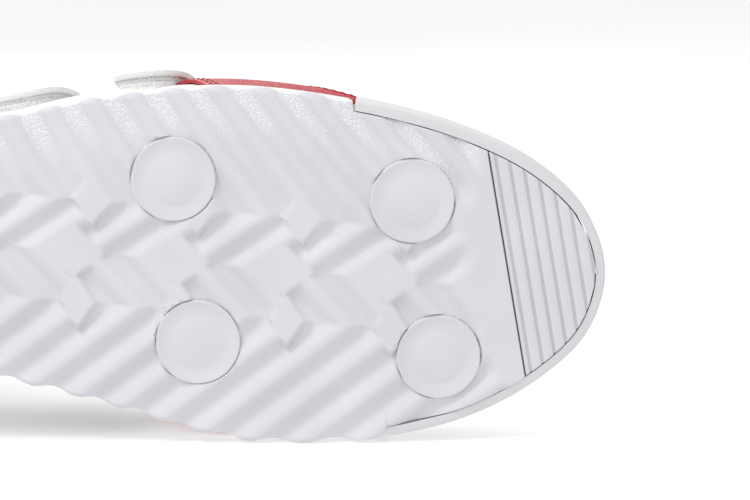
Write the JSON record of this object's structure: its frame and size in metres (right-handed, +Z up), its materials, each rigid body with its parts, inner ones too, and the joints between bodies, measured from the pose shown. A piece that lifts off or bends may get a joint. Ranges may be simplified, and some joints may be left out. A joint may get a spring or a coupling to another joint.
{
  "type": "bowling shoe",
  "caption": "Low-cut bowling shoe for the right foot, with a herringbone rubber sole, round pods, a grooved toe plate and hook-and-loop straps.",
  "frame": {"origin": "under the middle of the shoe, on the surface it stands on", "axes": "+X towards the toe, +Y towards the inner (medial) side, +Z up"},
  "size_m": [0.295, 0.1046, 0.1162],
  "materials": {
    "sole_rubber": "satin moulded rubber",
    "tread_pod": "satin moulded rubber",
    "foxing_rubber": "satin moulded rubber",
    "midsole_foam": "matt moulded foam",
    "shank_steel": "rolled",
    "board": "pressed fibre",
    "insole_cloth": "knitted cloth on foam",
    "white_leather": "fine grain",
    "grey_leather": "fine grain",
    "red_leather": "fine grain",
    "lining_cloth": "knitted mesh",
    "padding": "open foam",
    "stiffener": "pressed fibre",
    "hook_and_loop": "hook and loop pile"
  },
  "bodies": {
    "shoe": {"collar_lining": "lining_cloth", "collar_padding": "padding", "heel_counter": "stiffener", "heel_foxing": "foxing_rubber", "heel_pod_lateral": "tread_pod", "heel_pod_medial": "tread_pod", "heel_tab": "red_leather", "lasting_board": "board", "loop_patch_front": "hook_and_loop", "loop_patch_rear": "hook_and_loop", "midsole": "midsole_foam", "outsole": "sole_rubber", "pod_lateral_front": "tread_pod", "pod_lateral_rear": "tread_pod", "pod_medial_front": "tread_pod", "pod_medial_rear": "tread_pod", "quarter_lateral": "white_leather", "quarter_medial": "grey_leather", "shank": "shank_steel", "side_panel_lateral": "red_leather", "side_panel_medial": "red_leather", "strap_anchor_front": "white_leather", "strap_anchor_rear": "white_leather", "throat_facing": "white_leather", "toe_bumper": "foxing_rubber", "toe_plate": "sole_rubber", "toe_puff": "stiffener", "vamp": "white_leather", "vamp_lining": "lining_cloth"},
    "strap_front": {"strap_front": "white_leather", "hook_patch_front": "hook_and_loop"},
    "strap_rear": {"strap_rear": "white_leather", "hook_patch_rear": "hook_and_loop"},
    "tongue": {"tongue_outer": "white_leather", "tongue_foam": "padding", "tongue_lining": "lining_cloth"},
    "insole": {"insole": "insole_cloth"}
  },
  "joints": [
    {"name": "strap_front_hinge", "type": "hinge", "parent": "shoe", "child": "strap_front", "pos_m": [0.02438, 0.04294, 0.04634], "axis": [-0.9175, -0.2681, 0.2938], "range_deg": [0, 120]},
    {"name": "strap_rear_hinge", "type": "hinge", "parent": "shoe", "child": "strap_rear", "pos_m": [-0.01445, 0.03288, 0.05634], "axis": [-0.9408, -0.1556, 0.3012], "range_deg": [0, 120]},
    {"name": "tongue_flex", "type": "hinge", "parent": "shoe", "child": "tongue", "pos_m": [0.054, 0, 0.0575], "axis": [0, 1, 0], "range_deg": [-5, 0], "stiffness_Nm_per_rad": 0.4, "springref_deg": 11.46},
    {"name": "insole_lift", "type": "hinge", "parent": "shoe", "child": "insole", "pos_m": [0.138, 0, 0.0246], "axis": [0, 1, 0], "range_deg": [0, 5]}
  ]
}
